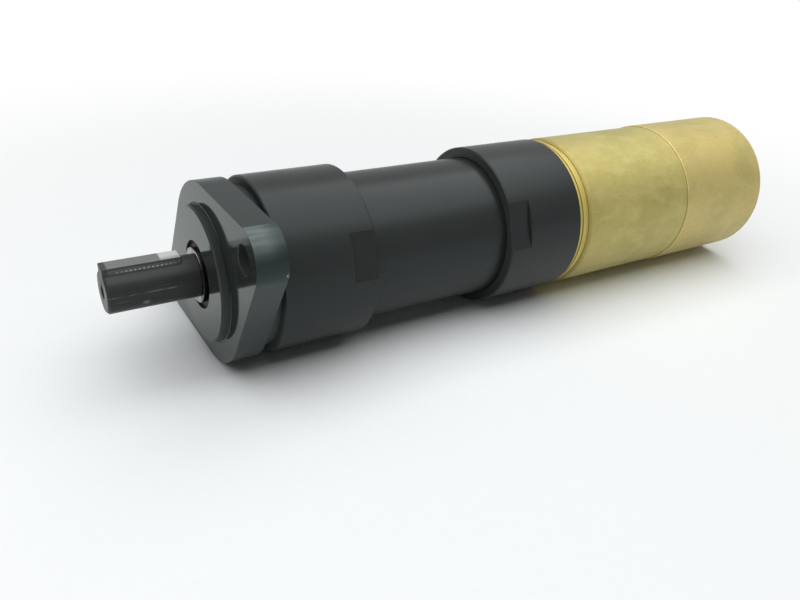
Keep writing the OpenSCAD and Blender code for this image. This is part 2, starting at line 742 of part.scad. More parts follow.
// Inlet cap: spigot, bore, rear wall with the air inlet and exhaust holes, and a hub for the inlet tube
wall_x0 = cap_x1 - rear_wall;
hub_x0 = wall_x0 - hub_len;
inlet_web = 2;
tube_seat_x1 = cap_x1 - inlet_depth - inlet_web;
exhaust_hole_orbit = (cap_bore_r + hub_r) / 2;
module inlet_cap() {
  spigot_r = chamber_r - seat_gap;
  end_bevel = 0.5;
  color(brass) difference() {
    union() {
      turned([
        [cap_bore_r, cap_x0], [spigot_r, cap_x0], [spigot_r, exhaust_x1],
        [cap_r - cap_step / 2, exhaust_x1], [cap_r, exhaust_x1 + cap_step / 2],
        [cap_r, cap_x1 - end_bevel], [cap_r - end_bevel, cap_x1], [0, cap_x1],
        [0, wall_x0], [cap_bore_r, wall_x0]
      ]);
      along_x(hub_x0) cylinder(r = hub_r, h = wall_x0 - hub_x0 + eps);
    }
    o_ring_cut(spigot_r, cap_ring_x);
    drilling(inlet_d / 2, cap_x1 - inlet_depth, cap_x1 + eps);
    drilling(inlet_tube_d / 2 - inlet_tube_wall, hub_x0 - eps, cap_x1 - inlet_depth + eps);
    drilling(inlet_tube_d / 2 + seat_gap, hub_x0 - eps, tube_seat_x1);
    for (i = [0:exhaust_holes - 1])
      drilling(
        exhaust_hole_d / 2, wall_x0 - eps, cap_x1 + eps, 360 / exhaust_holes * i, exhaust_hole_orbit);
  }
}

module cap_o_ring() {
  o_ring(chamber_r - seat_gap, chamber_r, cap_ring_x);
}

module inlet_tube() {
  tube_out_r = inlet_tube_d / 2;
  color(brass) ring(tube_out_r, tube_out_r - inlet_tube_wall, exhaust_x0 + front_wall / 2, tube_seat_x1);
}

module silencer_plug() {
  color(bronze) ring(cap_bore_r - seat_gap, hub_r + seat_gap, wall_x0 - plug_len, wall_x0);
}

rotor_front_x = ring_gear_x1;
rotor_rear_x = liner_x1 + plate_wall;

output_shaft();
shaft_key();
shaft_spacer();
shaft_seal();
front_flange();
output_bearing("outer", bearing_x0);  // front_bearing_outer
output_bearing("inner", bearing_x0);  // front_bearing_inner
output_bearing("balls", bearing_x0);  // front_bearing_balls
output_bearing("cage", bearing_x0);  // front_bearing_cage
output_bearing("outer", bearing_x1);  // carrier_bearing_outer
output_bearing("inner", bearing_x1);  // carrier_bearing_inner
output_bearing("balls", bearing_x1);  // carrier_bearing_balls
output_bearing("cage", bearing_x1);  // carrier_bearing_cage
bearing_spacer();
spring_washer();
bearing_circlip();
gear_housing();
ring_gear();
sun_gear();
planet_gear(1);  // planet_gear_1
planet_gear(2);  // planet_gear_2
planet_gear(3);  // planet_gear_3
planet_pin(1);  // planet_pin_1
planet_pin(2);  // planet_pin_2
planet_pin(3);  // planet_pin_3
rotor();
vane(1);  // vane_1
vane(2);  // vane_2
vane(3);  // vane_3
vane(4);  // vane_4
vane(5);  // vane_5
cylinder_liner();
front_end_plate();
rear_end_plate();
locating_pins();
rotor_bearing("outer", rotor_front_x);  // rotor_front_bearing_outer
rotor_bearing("inner", rotor_front_x);  // rotor_front_bearing_inner
rotor_bearing("balls", rotor_front_x);  // rotor_front_bearing_balls
rotor_bearing("cage", rotor_front_x);  // rotor_front_bearing_cage
rotor_bearing("outer", rotor_rear_x);  // rotor_rear_bearing_outer
rotor_bearing("inner", rotor_rear_x);  // rotor_rear_bearing_inner
rotor_bearing("balls", rotor_rear_x);  // rotor_rear_bearing_balls
rotor_bearing("cage", rotor_rear_x);  // rotor_rear_bearing_cage
motor_tube();
rear_collar();
exhaust_body();
spigot_o_ring();
inlet_cap();
cap_o_ring();
inlet_tube();
silencer_plug();
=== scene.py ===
"""Looks of an air vane motor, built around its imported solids.

Metres, in the part's own frame: X is the motor's axis, the output shaft points to -X and the air inlet
to +X. The origin is the centre of the flange's mounting face, and +Z is up as the motor lies on a table.
"""
import json
import math

import bmesh
import bpy
from mathutils import Matrix, Quaternion, Vector


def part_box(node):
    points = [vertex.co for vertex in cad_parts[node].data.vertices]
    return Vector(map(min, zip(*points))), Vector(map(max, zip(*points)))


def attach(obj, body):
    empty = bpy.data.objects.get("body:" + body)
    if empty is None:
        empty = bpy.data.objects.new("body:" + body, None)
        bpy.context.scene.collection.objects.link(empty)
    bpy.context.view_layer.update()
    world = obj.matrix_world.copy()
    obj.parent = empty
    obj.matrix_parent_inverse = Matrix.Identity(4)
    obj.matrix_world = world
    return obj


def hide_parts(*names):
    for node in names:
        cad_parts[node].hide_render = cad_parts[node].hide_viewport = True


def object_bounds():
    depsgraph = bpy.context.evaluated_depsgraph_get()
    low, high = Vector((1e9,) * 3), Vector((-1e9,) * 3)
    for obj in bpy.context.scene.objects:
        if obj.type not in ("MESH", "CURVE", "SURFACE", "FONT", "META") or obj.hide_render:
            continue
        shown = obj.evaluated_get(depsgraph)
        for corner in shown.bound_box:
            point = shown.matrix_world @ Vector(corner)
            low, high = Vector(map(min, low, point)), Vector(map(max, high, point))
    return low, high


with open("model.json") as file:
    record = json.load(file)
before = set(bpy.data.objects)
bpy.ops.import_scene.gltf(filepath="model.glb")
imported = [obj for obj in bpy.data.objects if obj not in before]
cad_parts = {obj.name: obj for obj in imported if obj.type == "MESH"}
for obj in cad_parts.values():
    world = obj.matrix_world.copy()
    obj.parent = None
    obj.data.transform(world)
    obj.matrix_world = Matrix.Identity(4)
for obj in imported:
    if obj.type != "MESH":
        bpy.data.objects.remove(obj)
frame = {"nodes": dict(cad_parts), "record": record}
cad_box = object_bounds()

MM = 0.001
SEGMENTS = 192
DRILL_SEGMENTS = 48
FILLET_STEPS = 8
KEY_STEPS = 6
SHARP_ANGLE = math.radians(13)
WELD = 1e-7

# The most of a side that the rounding of a corner takes
FILLET_SHARE = 0.45

# Half widths of a thread's ridge at its root and its crest, as shares of the pitch
RIDGE_ROOT, RIDGE_CREST = 0.43, 0.08

# Camera, as it stood for the photograph
CAMERA_PLACE = Vector((-46.87, -149.70, 79.93)) * MM
CAMERA_TARGET = Vector((34.58, -29.43, 0)) * MM
CAMERA_ROLL = math.radians(4.875)
CAMERA_LENS = 33.215
CAMERA_SENSOR = 36

# Light: a lamp above the object, a faint fill from all around, and the room that shiny faces mirror
LAMP_PLACE = (-0.045, -0.035, 0.60)
LAMP_TARGET = (-0.045, -0.035, 0)
LAMP_WIDTH, LAMP_HEIGHT = 1.41, 0.87
LAMP_POWER = 7.4
FILL_LIGHT = 0.10
ROOM_LEVEL, ROOM_OVERHEAD = 0.58, 0.72

# How squarely a face has to point one way for its zone: the cosine of its slant
FRONT_SQUARE = 0.99
FLAT_SQUARE = 0.999
HOLE_MOUTH_SQUARE = 0.9
PILOT_EDGE_SQUARE = 0.5

# Where most values of a noise lie, and the depth of the fine grain on steel
NOISE_LOW, NOISE_HIGH = 0.3, 0.7
FINE_DEPTH = 0.003 * MM

# Marks, some of them wear and some painted light and shade: a pair gives where a mark starts and where it is
# full
NICK_PLACE = Vector((6.75, -31.2, 12.8)) * MM
FLANGE_PALE_TOP = (15 * MM, 9 * MM)
FLANGE_PALE_FOOT = (-4 * MM, 6 * MM)
# Painted highlight on the near lobe's rounding: how high it starts and how far forward it reaches
LOBE_HIGHLIGHT_UP = (15.5 * MM, 20.5 * MM)
LOBE_HIGHLIGHT_FORWARD = (6.5 * MM, 2.5 * MM)
# Painted shade in recesses: where it starts and where it is full, going up
RECESS_SHADE_UP = (-4 * MM, 13 * MM)
# Where the painted highlight line at the pilot's foot breaks, under the shaft's dark reflection
FOOT_HIGHLIGHT_BREAK_Z = 7.5 * MM
SHAFT_LINE_Z = 0.6 * MM
SHAFT_LINE_BACK = (-6.5 * MM, -8 * MM)
SHAFT_LINE_FAINT = (-17 * MM, -11 * MM)
SMUDGE_X, SMUDGE_Z = -14.8 * MM, -1.9 * MM
NEAR_SIDE = (0, -1 * MM)
KEY_BRIGHT = (-10.6 * MM, -10 * MM)
DOTS_Z = 5 * MM
DOTS_PITCH = 0.95 * MM
DOTS_FRONT = (-20.4 * MM, -19.8 * MM)
DOTS_BACK = (-7 * MM, -8 * MM)
# Painted dark reflection of the shaft on the spacer ring's near side
RING_DARK_REFLECTION = (-2 * MM, -4.6 * MM)
BRASS_STAIN_LENGTH = 16 * MM


# Sizes: the frame and the record's mounts give most of them
def ends(node):
    low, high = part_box(node)
    return low.x, high.x


def outer_radius(node):
    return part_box(node)[1].z


mounts = {mount["name"]: mount["dims"] for mount in frame["record"]["mounts"]}
edge = 0.12 * MM
bevel = 0.35 * MM
seat_gap = 0.02 * MM
overcut = 1 * MM

shaft_r = mounts["keyed_shaft"]["r_mm"] * MM
shaft_tip_x, carrier_x1 = ends("output_shaft")
carrier_r = outer_radius("output_shaft")
carrier_x0 = ends("planet_pin_1")[0]
shoulder_x = ends("carrier_bearing_inner")[1]
shoulder_r = shaft_r + 2 * MM
shaft_bevel = 0.5 * MM
tip_core_r = mounts["shaft_end_thread"]["r_mm"] * MM
tip_depth = mounts["shaft_end_thread"]["length_mm"] * MM
tip_pitch = 0.5 * MM
key_low, key_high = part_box("shaft_key")
key_rounding = 0.36 * MM
spacer_x0, spacer_x1 = ends("shaft_spacer")
spacer_r = outer_radius("shaft_spacer")
pin_r = 1.75 * MM
planet_low, planet_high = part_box("planet_gear_1")
orbit_r = (planet_low.z + planet_high.z) / 2
planets = 3

flange_x0, spigot_x1 = ends("front_flange")
flange_thick = 6.8 * MM
pilot_r = mounts["pilot"]["r_mm"] * MM
pilot_relief = 0.4 * MM
relief_depth = 0.15 * MM
lobe_c = mounts["flange_bolts"]["pcd_mm"] / 2 * MM
bolt_hole_r = mounts["flange_bolts"]["hole_r_mm"] * MM
lobe_r = 7 * MM
neck_r = 19.2 * MM
spigot_r = 18 * MM
seal_bore_r = outer_radius("shaft_seal") + seat_gap
bearing_x0 = ends("front_bearing_outer")[0]
bearing_seat_r = outer_radius("front_bearing_outer") + seat_gap
circlip_x0, circlip_x1 = ends("bearing_circlip")
circlip_r = outer_radius("bearing_circlip") + seat_gap

housing_x0, housing_x1 = ends("gear_housing")
housing_r = outer_radius("gear_housing")
tube_x0, tube_x1 = ends("motor_tube")
tube_r = outer_radius("motor_tube")
tube_bore_r = outer_radius("cylinder_liner") + seat_gap
collar_x0, collar_x1 = ends("rear_collar")
collar_r = outer_radius("rear_collar")
collar_mouth = 0.15 * MM
flat_r = housing_r - 0.8 * MM
flat_len = 6.5 * MM
lobe_angle = math.pi / 2 + math.acos((housing_r - lobe_r) / lobe_c)
lobe_centre = Vector((math.cos(lobe_angle), math.sin(lobe_angle))) * lobe_c
flat_turn = math.radians(10.2)
flat_angle = lobe_angle + flat_turn

o_ring_depth = 1.2 * MM
o_ring_groove = 1.8 * MM
exhaust_x0, exhaust_x1 = ends("exhaust_body")
exhaust_r = outer_radius("exhaust_body")
spigot_groove_x = collar_x1 - 2 * MM
ring_x1 = collar_x1 + 2.5 * MM
ring_r = exhaust_r - 0.4 * MM
ring_slit = 0.4 * MM
slit_x = (collar_x1 + ring_x1) / 2
groove_x1 = ring_x1 + 1.3 * MM
groove_r = exhaust_r - 0.85 * MM
exhaust_bevel = 0.7 * MM
front_wall_x1 = exhaust_x0 + 6 * MM
chamber_x0 = groove_x1 + 0.5 * MM
chamber_r = exhaust_r - 2.46 * MM
neck_bore_r = tube_r - o_ring_depth - 1.1 * MM
inlet_tube_r = outer_radius("inlet_tube")
inlet_tube_x0, inlet_tube_x1 = ends("inlet_tube")
inlet_bore_r = inlet_tube_r - 1.3 * MM
hub_r = inlet_tube_r + 3.6 * MM
hub_x1 = front_wall_x1 + 3 * MM
port_r = 1.1 * MM
port_orbit = 14.46 * MM
port_angle = math.radians(120)
vent_r = 1.43 * MM
vent_middle, vent_turn = 30, 24
vent_angles = [math.radians(vent_middle + vent_turn * i) for i in (-1, 0, 1)]

cap_x0, cap_x1 = ends("inlet_cap")
cap_r = outer_radius("inlet_cap")
cap_step = cap_r - exhaust_r
cap_groove_x = (cap_x0 + exhaust_x1) / 2
cap_bore_r = outer_radius("silencer_plug") + seat_gap
cap_wall_x0 = ends("silencer_plug")[1]
cap_hub_x0 = cap_wall_x0 - 10 * MM
cap_end_bevel = 0.5 * MM
inlet_core_r = mounts["air_inlet"]["r_mm"] * MM
inlet_depth = mounts["air_inlet"]["length_mm"] * MM
inlet_pitch = 1.337 * MM
exhaust_hole_r = 1.5 * MM
exhaust_holes = 10
exhaust_hole_orbit = (cap_bore_r + hub_r) / 2


# Mesh helpers
def make_piece(name, points, faces):
    """A piece from points and faces, with doubled points welded and the faces turned outwards."""
    shape = bmesh.new()
    verts = [shape.verts.new(point) for point in points]
    for face in faces:
        shape.faces.new([verts[i] for i in face])
    bmesh.ops.remove_doubles(shape, verts=shape.verts[:], dist=WELD)
    bmesh.ops.dissolve_degenerate(shape, dist=WELD, edges=shape.edges[:])
    bmesh.ops.recalc_face_normals(shape, faces=shape.faces[:])
    mesh = bpy.data.meshes.new(name)
    shape.to_mesh(mesh)
    shape.free()
    piece = bpy.data.objects.new(name, mesh)
    bpy.context.scene.collection.objects.link(piece)
    return piece


def rounded(outline):
    """Rounds the corners of a closed outline: a point is (radius, x), or (radius, x, rounding)."""
    result = []
    for i, point in enumerate(outline):
        here = Vector(point[:2])
        if len(point) == 2:
            result.append(here)
            continue
        before = Vector(outline[i - 1][:2]) - here
        after = Vector(outline[(i + 1) % len(outline)][:2]) - here
        along = point[2] / math.tan(before.angle(after) / 2)
        along = min(along, FILLET_SHARE * before.length, FILLET_SHARE * after.length)
        start = here + before.normalized() * along
        stop = here + after.normalized() * along
        for k in range(FILLET_STEPS + 1):
            t = k / FILLET_STEPS
            result.append((1 - t) ** 2 * start + 2 * t * (1 - t) * here + t ** 2 * stop)
    return result


def turned(name, outline, segments=SEGMENTS):
    """Turns a closed outline around the motor's axis."""
    outline = rounded(outline)
    count = len(outline)
    points, faces = [], []
    for i in range(segments):
        angle = 2 * math.pi * i / segments
        points += [(x, r * math.cos(angle), r * math.sin(angle)) for r, x in outline]
        here, beside = i * count, (i + 1) % segments * count
        for k in range(count):
            after = (k + 1) % count
            faces.append((here + k, here + after, beside + after, beside + k))
    return make_piece(name, points, faces)


def drill(radius, x0, x1, angle=0, orbit=0, front_chamfer=0, rear_chamfer=0):
    """A round cutter along the axis, from x0 to x1, that widens at the mouths which have a chamfer."""
    outline = [
        (0, x0 - front_chamfer), (radius + 2 * front_chamfer, x0 - front_chamfer),
        (radius, x0 + front_chamfer), (radius, x1 - rear_chamfer),
        (radius + 2 * rear_chamfer, x1 + rear_chamfer), (0, x1 + rear_chamfer)]
    cutter = turned("cutter", outline, segments=DRILL_SEGMENTS)
    cutter.data.transform(Matrix.Translation((0, orbit * math.cos(angle), orbit * math.sin(angle))))
    return cutter


def slab(x0, x1, angle, near, far, width):
    """A flat-sided cutter from one distance off the axis to another."""
    out = Vector((0, math.cos(angle), math.sin(angle)))
    side = Vector((0, -math.sin(angle), math.cos(angle))) * width / 2
    points = []
    for x in (x0, x1):
        for distance, flank in ((near, -1), (far, -1), (far, 1), (near, 1)):
            points.append(Vector((x, 0, 0)) + out * distance + side * flank)
    faces = [(0, 1, 2, 3), (4, 5, 6, 7), (0, 1, 5, 4), (1, 2, 6, 5), (2, 3, 7, 6), (3, 0, 4, 7)]
    return make_piece("cutter", points, faces)


def settle(piece):
    """Turns a piece's modifiers into its mesh."""
    bpy.context.view_layer.update()
    graph = bpy.context.evaluated_depsgraph_get()
    mesh = bpy.data.meshes.new_from_object(piece.evaluated_get(graph), depsgraph=graph)
    old = piece.data
    piece.modifiers.clear()
    piece.data = mesh
    bpy.data.meshes.remove(old)
    mesh.name = piece.name


def combine(piece, others, operation="DIFFERENCE"):
    """Cuts other pieces out of a piece, or joins them to it, and removes them."""
    for other in others:
        modifier = piece.modifiers.new("combine", "BOOLEAN")
        modifier.operation = operation
        modifier.solver = "EXACT"
        modifier.object = other
        settle(piece)
        bpy.data.objects.remove(other)
    return piece


def smooth(piece):
    """Smooth shading that keeps corners crisp and flat faces flat."""
    piece.data.shade_smooth()
    piece.data.set_sharp_from_angle(angle=SHARP_ANGLE)
    modifier = piece.modifiers.new("normals", "WEIGHTED_NORMAL")
    modifier.keep_sharp = True
    settle(piece)
    return piece


def paint(piece, index, test):
    """Gives the faces that pass a test another of the piece's materials."""
    for face in piece.data.polygons:
        if test(face.center, face.normal):
            face.material_index = index


def dress(piece, materials, body="root", node=None):
    """Gives a finished piece its looks and its place on a body."""
    smooth(piece)
    for material in materials:
        piece.data.materials.append(material)
    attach(piece, body)
    if node:
        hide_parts(node)
    return piece


# Pieces
def flange_plate():
    """The hull of the housing's circle and the two lobes, with rounded edges."""
    circles = ((Vector((0, 0)), housing_r), (lobe_centre, lobe_r), (-lobe_centre, lobe_r))
    quarter = [math.pi / 2 * k / FILLET_STEPS for k in range(FILLET_STEPS + 1)]
    front = [(edge * (1 - math.sin(a)), edge * (1 - math.cos(a))) for a in quarter]
    rows = front + [(inset, flange_thick - x) for inset, x in reversed(front)]
    count = 2 * SEGMENTS
    points, faces = [], []
    for inset, x in rows:
        for i in range(count):
            angle = 2 * math.pi * i / count
            normal = Vector((math.cos(angle), math.sin(angle)))
            centre, radius = max(circles, key=lambda circle: circle[0].dot(normal) + circle[1])
            place = centre + normal * (radius - inset)
            points.append((x, place.x, place.y))
    for row in range(len(rows) - 1):
        here, beyond = row * count, (row + 1) * count
        for i in range(count):
            beside = (i + 1) % count
            faces.append((here + i, here + beside, beyond + beside, beyond + i))
    faces.append(tuple(range(count)))
    faces.append(tuple(range((len(rows) - 1) * count, len(rows) * count)))
    return make_piece("flange", points, faces)


def flange():
    mid_x = flange_thick / 2
    foot_r = pilot_r - pilot_relief / 2
    core = turned("flange_core", [
        (seal_bore_r, flange_x0, edge), (pilot_r - bevel, flange_x0, edge),
        (pilot_r, flange_x0 + bevel, edge), (pilot_r, -pilot_relief / 2), (foot_r, -pilot_relief / 2),
        (foot_r, mid_x), (neck_r, mid_x), (neck_r, housing_x0), (spigot_r, housing_x0), (spigot_r, spigot_x1),
        (bearing_seat_r, spigot_x1), (bearing_seat_r, circlip_x1), (circlip_r, circlip_x1),
        (circlip_r, circlip_x0), (bearing_seat_r, circlip_x0), (bearing_seat_r, bearing_x0),
        (seal_bore_r, bearing_x0)])
    plate = flange_plate()
    holes = [drill(pilot_r + pilot_relief, 0, relief_depth, front_chamfer=edge / 2),
             drill(pilot_r - overcut, 0, flange_thick + overcut)]
    for side in (0, math.pi):
        holes.append(drill(bolt_hole_r, 0, flange_thick, lobe_angle + side, lobe_c, edge / 2, bevel))
    combine(plate, holes)
    return combine(plate, [core], "UNION")


def spanner_flats(piece, x0, x1):
    cutters = [slab(x0, x1, flat_angle + side, flat_r, 2 * flat_r, 2 * flat_r) for side in (0, math.pi)]
    return combine(piece, cutters)


def gear_housing():
    front_bore, rear_bore = spigot_r + seat_gap, tube_r + seat_gap
    sleeve = turned("gear_sleeve", [
        (front_bore, housing_x0), (housing_r - bevel, housing_x0, edge),
        (housing_r, housing_x0 + bevel, edge), (housing_r, housing_x1 - bevel, edge),
        (housing_r - bevel, housing_x1, edge), (rear_bore, housing_x1), (rear_bore, spigot_x1),
        (front_bore, spigot_x1)])
    return spanner_flats(sleeve, housing_x1 - flat_len, housing_x1 + overcut)


def motor_tube():
    return turned("middle_tube", [
        (tube_bore_r, tube_x0), (tube_r, tube_x0), (tube_r, tube_x1), (tube_bore_r, tube_x1)])


def rear_collar():
    bore = tube_r + seat_gap
    sleeve = turned("rear_sleeve", [
        (bore + collar_mouth, collar_x0, edge), (collar_r - bevel, collar_x0, edge),
        (collar_r, collar_x0 + bevel, edge), (collar_r, collar_x1 - bevel / 2, edge),
        (collar_r - bevel / 2, collar_x1, edge), (bore, collar_x1), (bore, collar_x0 + collar_mouth)])
    return spanner_flats(sleeve, collar_x0 - overcut, collar_x0 + flat_len)


def o_ring_seat(radius, x):
    """The outline of an O-ring's groove in a spigot."""
    floor = radius - o_ring_depth
    x0, x1 = x - o_ring_groove / 2, x + o_ring_groove / 2
    return [(radius, x0), (floor, x0), (floor, x1), (radius, x1)]


def exhaust_body():
    tube_seat = inlet_tube_r + seat_gap
    slit_x0, slit_x1 = slit_x - ring_slit / 2, slit_x + ring_slit / 2
    slit_r = ring_r - ring_slit
    body = turned("exhaust_shell", [
        (inlet_bore_r, exhaust_x0), (tube_r, exhaust_x0), *o_ring_seat(tube_r, spigot_groove_x),
        (tube_r, collar_x1), (ring_r, collar_x1, edge), (ring_r, slit_x0, 2 * edge), (slit_r, slit_x0),
        (slit_r, slit_x1), (ring_r, slit_x1, 2 * edge), (ring_r, ring_x1, 2 * edge),
        (groove_r, ring_x1, edge), (groove_r, groove_x1), (exhaust_r - exhaust_bevel, groove_x1),
        (exhaust_r, groove_x1 + exhaust_bevel, edge), (exhaust_r, exhaust_x1, edge),
        (chamber_r, exhaust_x1), (chamber_r, chamber_x0), (neck_bore_r, chamber_x0),
        (neck_bore_r, front_wall_x1), (hub_r, front_wall_x1), (hub_r, hub_x1), (tube_seat, hub_x1),
        (tube_seat, inlet_tube_x0), (inlet_bore_r, inlet_tube_x0)])
    start_x = exhaust_x0 - overcut
    cutters = [drill(vent_r, start_x, front_wall_x1 + overcut, angle, port_orbit) for angle in vent_angles]
    cutters.append(slab(start_x, exhaust_x0 + 2 * port_r, port_angle, 0, port_orbit + port_r, 2 * port_r))
    return combine(body, cutters)


def inlet_cap():
    spigot = chamber_r - seat_gap
    tube_seat = inlet_tube_r + seat_gap
    groove_depth = inlet_pitch / 2
    thread_r = inlet_core_r + groove_depth
    floor_x = cap_x1 - inlet_depth
    cap = turned("inlet_shell", [
        (cap_bore_r, cap_x0), (spigot, cap_x0), *o_ring_seat(spigot, cap_groove_x), (spigot, exhaust_x1),
        (cap_r - cap_step / 2, exhaust_x1, edge), (cap_r, exhaust_x1 + cap_step / 2, edge),
        (cap_r, cap_x1 - cap_end_bevel, 2 * edge), (cap_r - cap_end_bevel, cap_x1, 2 * edge),
        (thread_r + groove_depth, cap_x1, edge), (thread_r, cap_x1 - groove_depth), (thread_r, floor_x),
        (inlet_bore_r, floor_x), (inlet_bore_r, inlet_tube_x1), (tube_seat, inlet_tube_x1),
        (tube_seat, cap_hub_x0), (hub_r, cap_hub_x0), (hub_r, cap_wall_x0), (cap_bore_r, cap_wall_x0)])
    holes = []
    for i in range(exhaust_holes):
        angle = 2 * math.pi * i / exhaust_holes
        holes.append(drill(exhaust_hole_r, cap_wall_x0 - overcut, cap_x1, angle, exhaust_hole_orbit,
                           rear_chamfer=bevel / 2))
    return combine(cap, holes)


def thread(name, core_r, x0, x1, pitch):
    """The helical ridge of an internal thread, from its core to its root."""
    root_r = core_r + pitch / 2 + seat_gap
    section = [(root_r, -RIDGE_ROOT), (core_r, -RIDGE_CREST), (core_r, RIDGE_CREST), (root_r, RIDGE_ROOT)]
    sides = len(section)
    steps = int(DRILL_SEGMENTS * ((x1 - x0) / pitch - 1))
    points, faces = [], []
    for step in range(steps + 1):
        angle = 2 * math.pi * step / DRILL_SEGMENTS
        across, up = math.cos(angle), math.sin(angle)
        middle = x0 + pitch * (0.5 + step / DRILL_SEGMENTS)
        points += [(middle + share * pitch, r * across, r * up) for r, share in section]
    for step in range(steps):
        for k in range(sides):
            here, after = step * sides + k, step * sides + (k + 1) % sides
            faces.append((here, after, after + sides, here + sides))
    faces += [tuple(range(sides)), tuple(range(steps * sides, (steps + 1) * sides))]
    return make_piece(name, points, faces)


def output_shaft():
    groove_depth = tip_pitch / 2
    hole_r = tip_core_r + groove_depth
    shaft = turned("keyed_shaft", [
        (0, carrier_x1), (carrier_r, carrier_x1, edge), (carrier_r, carrier_x0, edge),
        (shoulder_r, carrier_x0), (shoulder_r, shoulder_x), (shaft_r, shoulder_x),
        (shaft_r, shaft_tip_x + shaft_bevel, edge), (shaft_r - shaft_bevel, shaft_tip_x, edge),
        (hole_r + groove_depth, shaft_tip_x, edge), (hole_r, shaft_tip_x + groove_depth),
        (hole_r, shaft_tip_x + tip_depth), (0, shaft_tip_x + tip_depth)])
    width = key_high.y - key_low.y + 2 * seat_gap
    cutters = [slab(key_low.x - overcut, key_high.x + seat_gap, math.pi / 2, key_low.z, 2 * shaft_r, width)]
    for i in range(planets):
        angle = math.pi / 2 + 2 * math.pi / planets * i
        cutters.append(drill(pin_r + seat_gap, carrier_x0 - overcut, carrier_x1 + overcut, angle, orbit_r))
    return combine(shaft, cutters)


def shaft_spacer():
    bore = shaft_r + seat_gap
    return turned("spacer_ring", [
        (bore, spacer_x0), (spacer_r, spacer_x0, edge), (spacer_r, spacer_x1), (bore, spacer_x1)])


def shaft_key():
    shape = bmesh.new()
    bmesh.ops.create_cube(shape, size=1)
    size, middle = key_high - key_low, (key_high + key_low) / 2
    for vert in shape.verts:
        vert.co = Vector(a * b for a, b in zip(vert.co, size)) + middle
    bmesh.ops.bevel(
        shape, geom=shape.edges[:], offset=key_rounding, segments=KEY_STEPS, profile=0.5, affect="EDGES")
    mesh = bpy.data.meshes.new("parallel_key")
    shape.to_mesh(mesh)
    shape.free()
    piece = bpy.data.objects.new("parallel_key", mesh)
    bpy.context.scene.collection.objects.link(piece)
    return piece


# Zones with a finish of their own: tests of a face's middle and its normal
def faces_front(place, normal):
    return normal.x < -FRONT_SQUARE


def in_flange_recess(place, normal):
    """The pilot's wall, the groove at its foot, and all that lies behind the plate."""
    reach = math.hypot(place.y, place.z)
    relief_r = pilot_r + 2 * pilot_relief
    beside_pilot = pilot_r - overcut < reach < relief_r and normal.x > -PILOT_EDGE_SQUARE
    in_groove = reach < relief_r and 0 < place.x < overcut
    wall = beside_pilot and flange_x0 + bevel < place.x < overcut
    return wall or in_groove or place.x > flange_thick - edge / 4


def in_bolt_hole(place, normal):
    reach = min((place.yz - lobe_centre).length, (place.yz + lobe_centre).length)
    return reach < bolt_hole_r + bevel and normal.x > -HOLE_MOUTH_SQUARE


def on_flat(place, normal):
    out = Vector((math.cos(flat_angle), math.sin(flat_angle)))
    return abs(normal.yz.dot(out)) > FLAT_SQUARE and abs(place.yz.dot(out)) < flat_r + edge


# Materials
class Nodes:
    """Short ways to add nodes to a tree."""

    def __init__(self, tree):
        self.tree = tree

    def feed(self, socket, value):
        if isinstance(value, bpy.types.NodeSocket):
            self.tree.links.new(value, socket)
        else:
            socket.default_value = value

    def node(self, kind, inputs, output=0, **settings):
        made = self.tree.nodes.new(kind)
        for name, value in settings.items():
            setattr(made, name, value)
        for socket, value in inputs.items():
            self.feed(made.inputs[socket], value)
        return made.outputs[output]

    def math(self, operation, a, b=0.0):
        return self.node("ShaderNodeMath", {0: a, 1: b}, operation=operation)

    def times(self, first, *others):
        """The product of all the values."""
        for other in others:
            first = self.math("MULTIPLY", first, other)
        return first

    def ramp(self, value, low, high, to_low=0.0, to_high=1.0):
        """A smooth step of a value, from one level to another."""
        inputs = {"Value": value, "From Min": low, "From Max": high, "To Min": to_low, "To Max": to_high}
        return self.node("ShaderNodeMapRange", inputs, interpolation_type="SMOOTHSTEP")


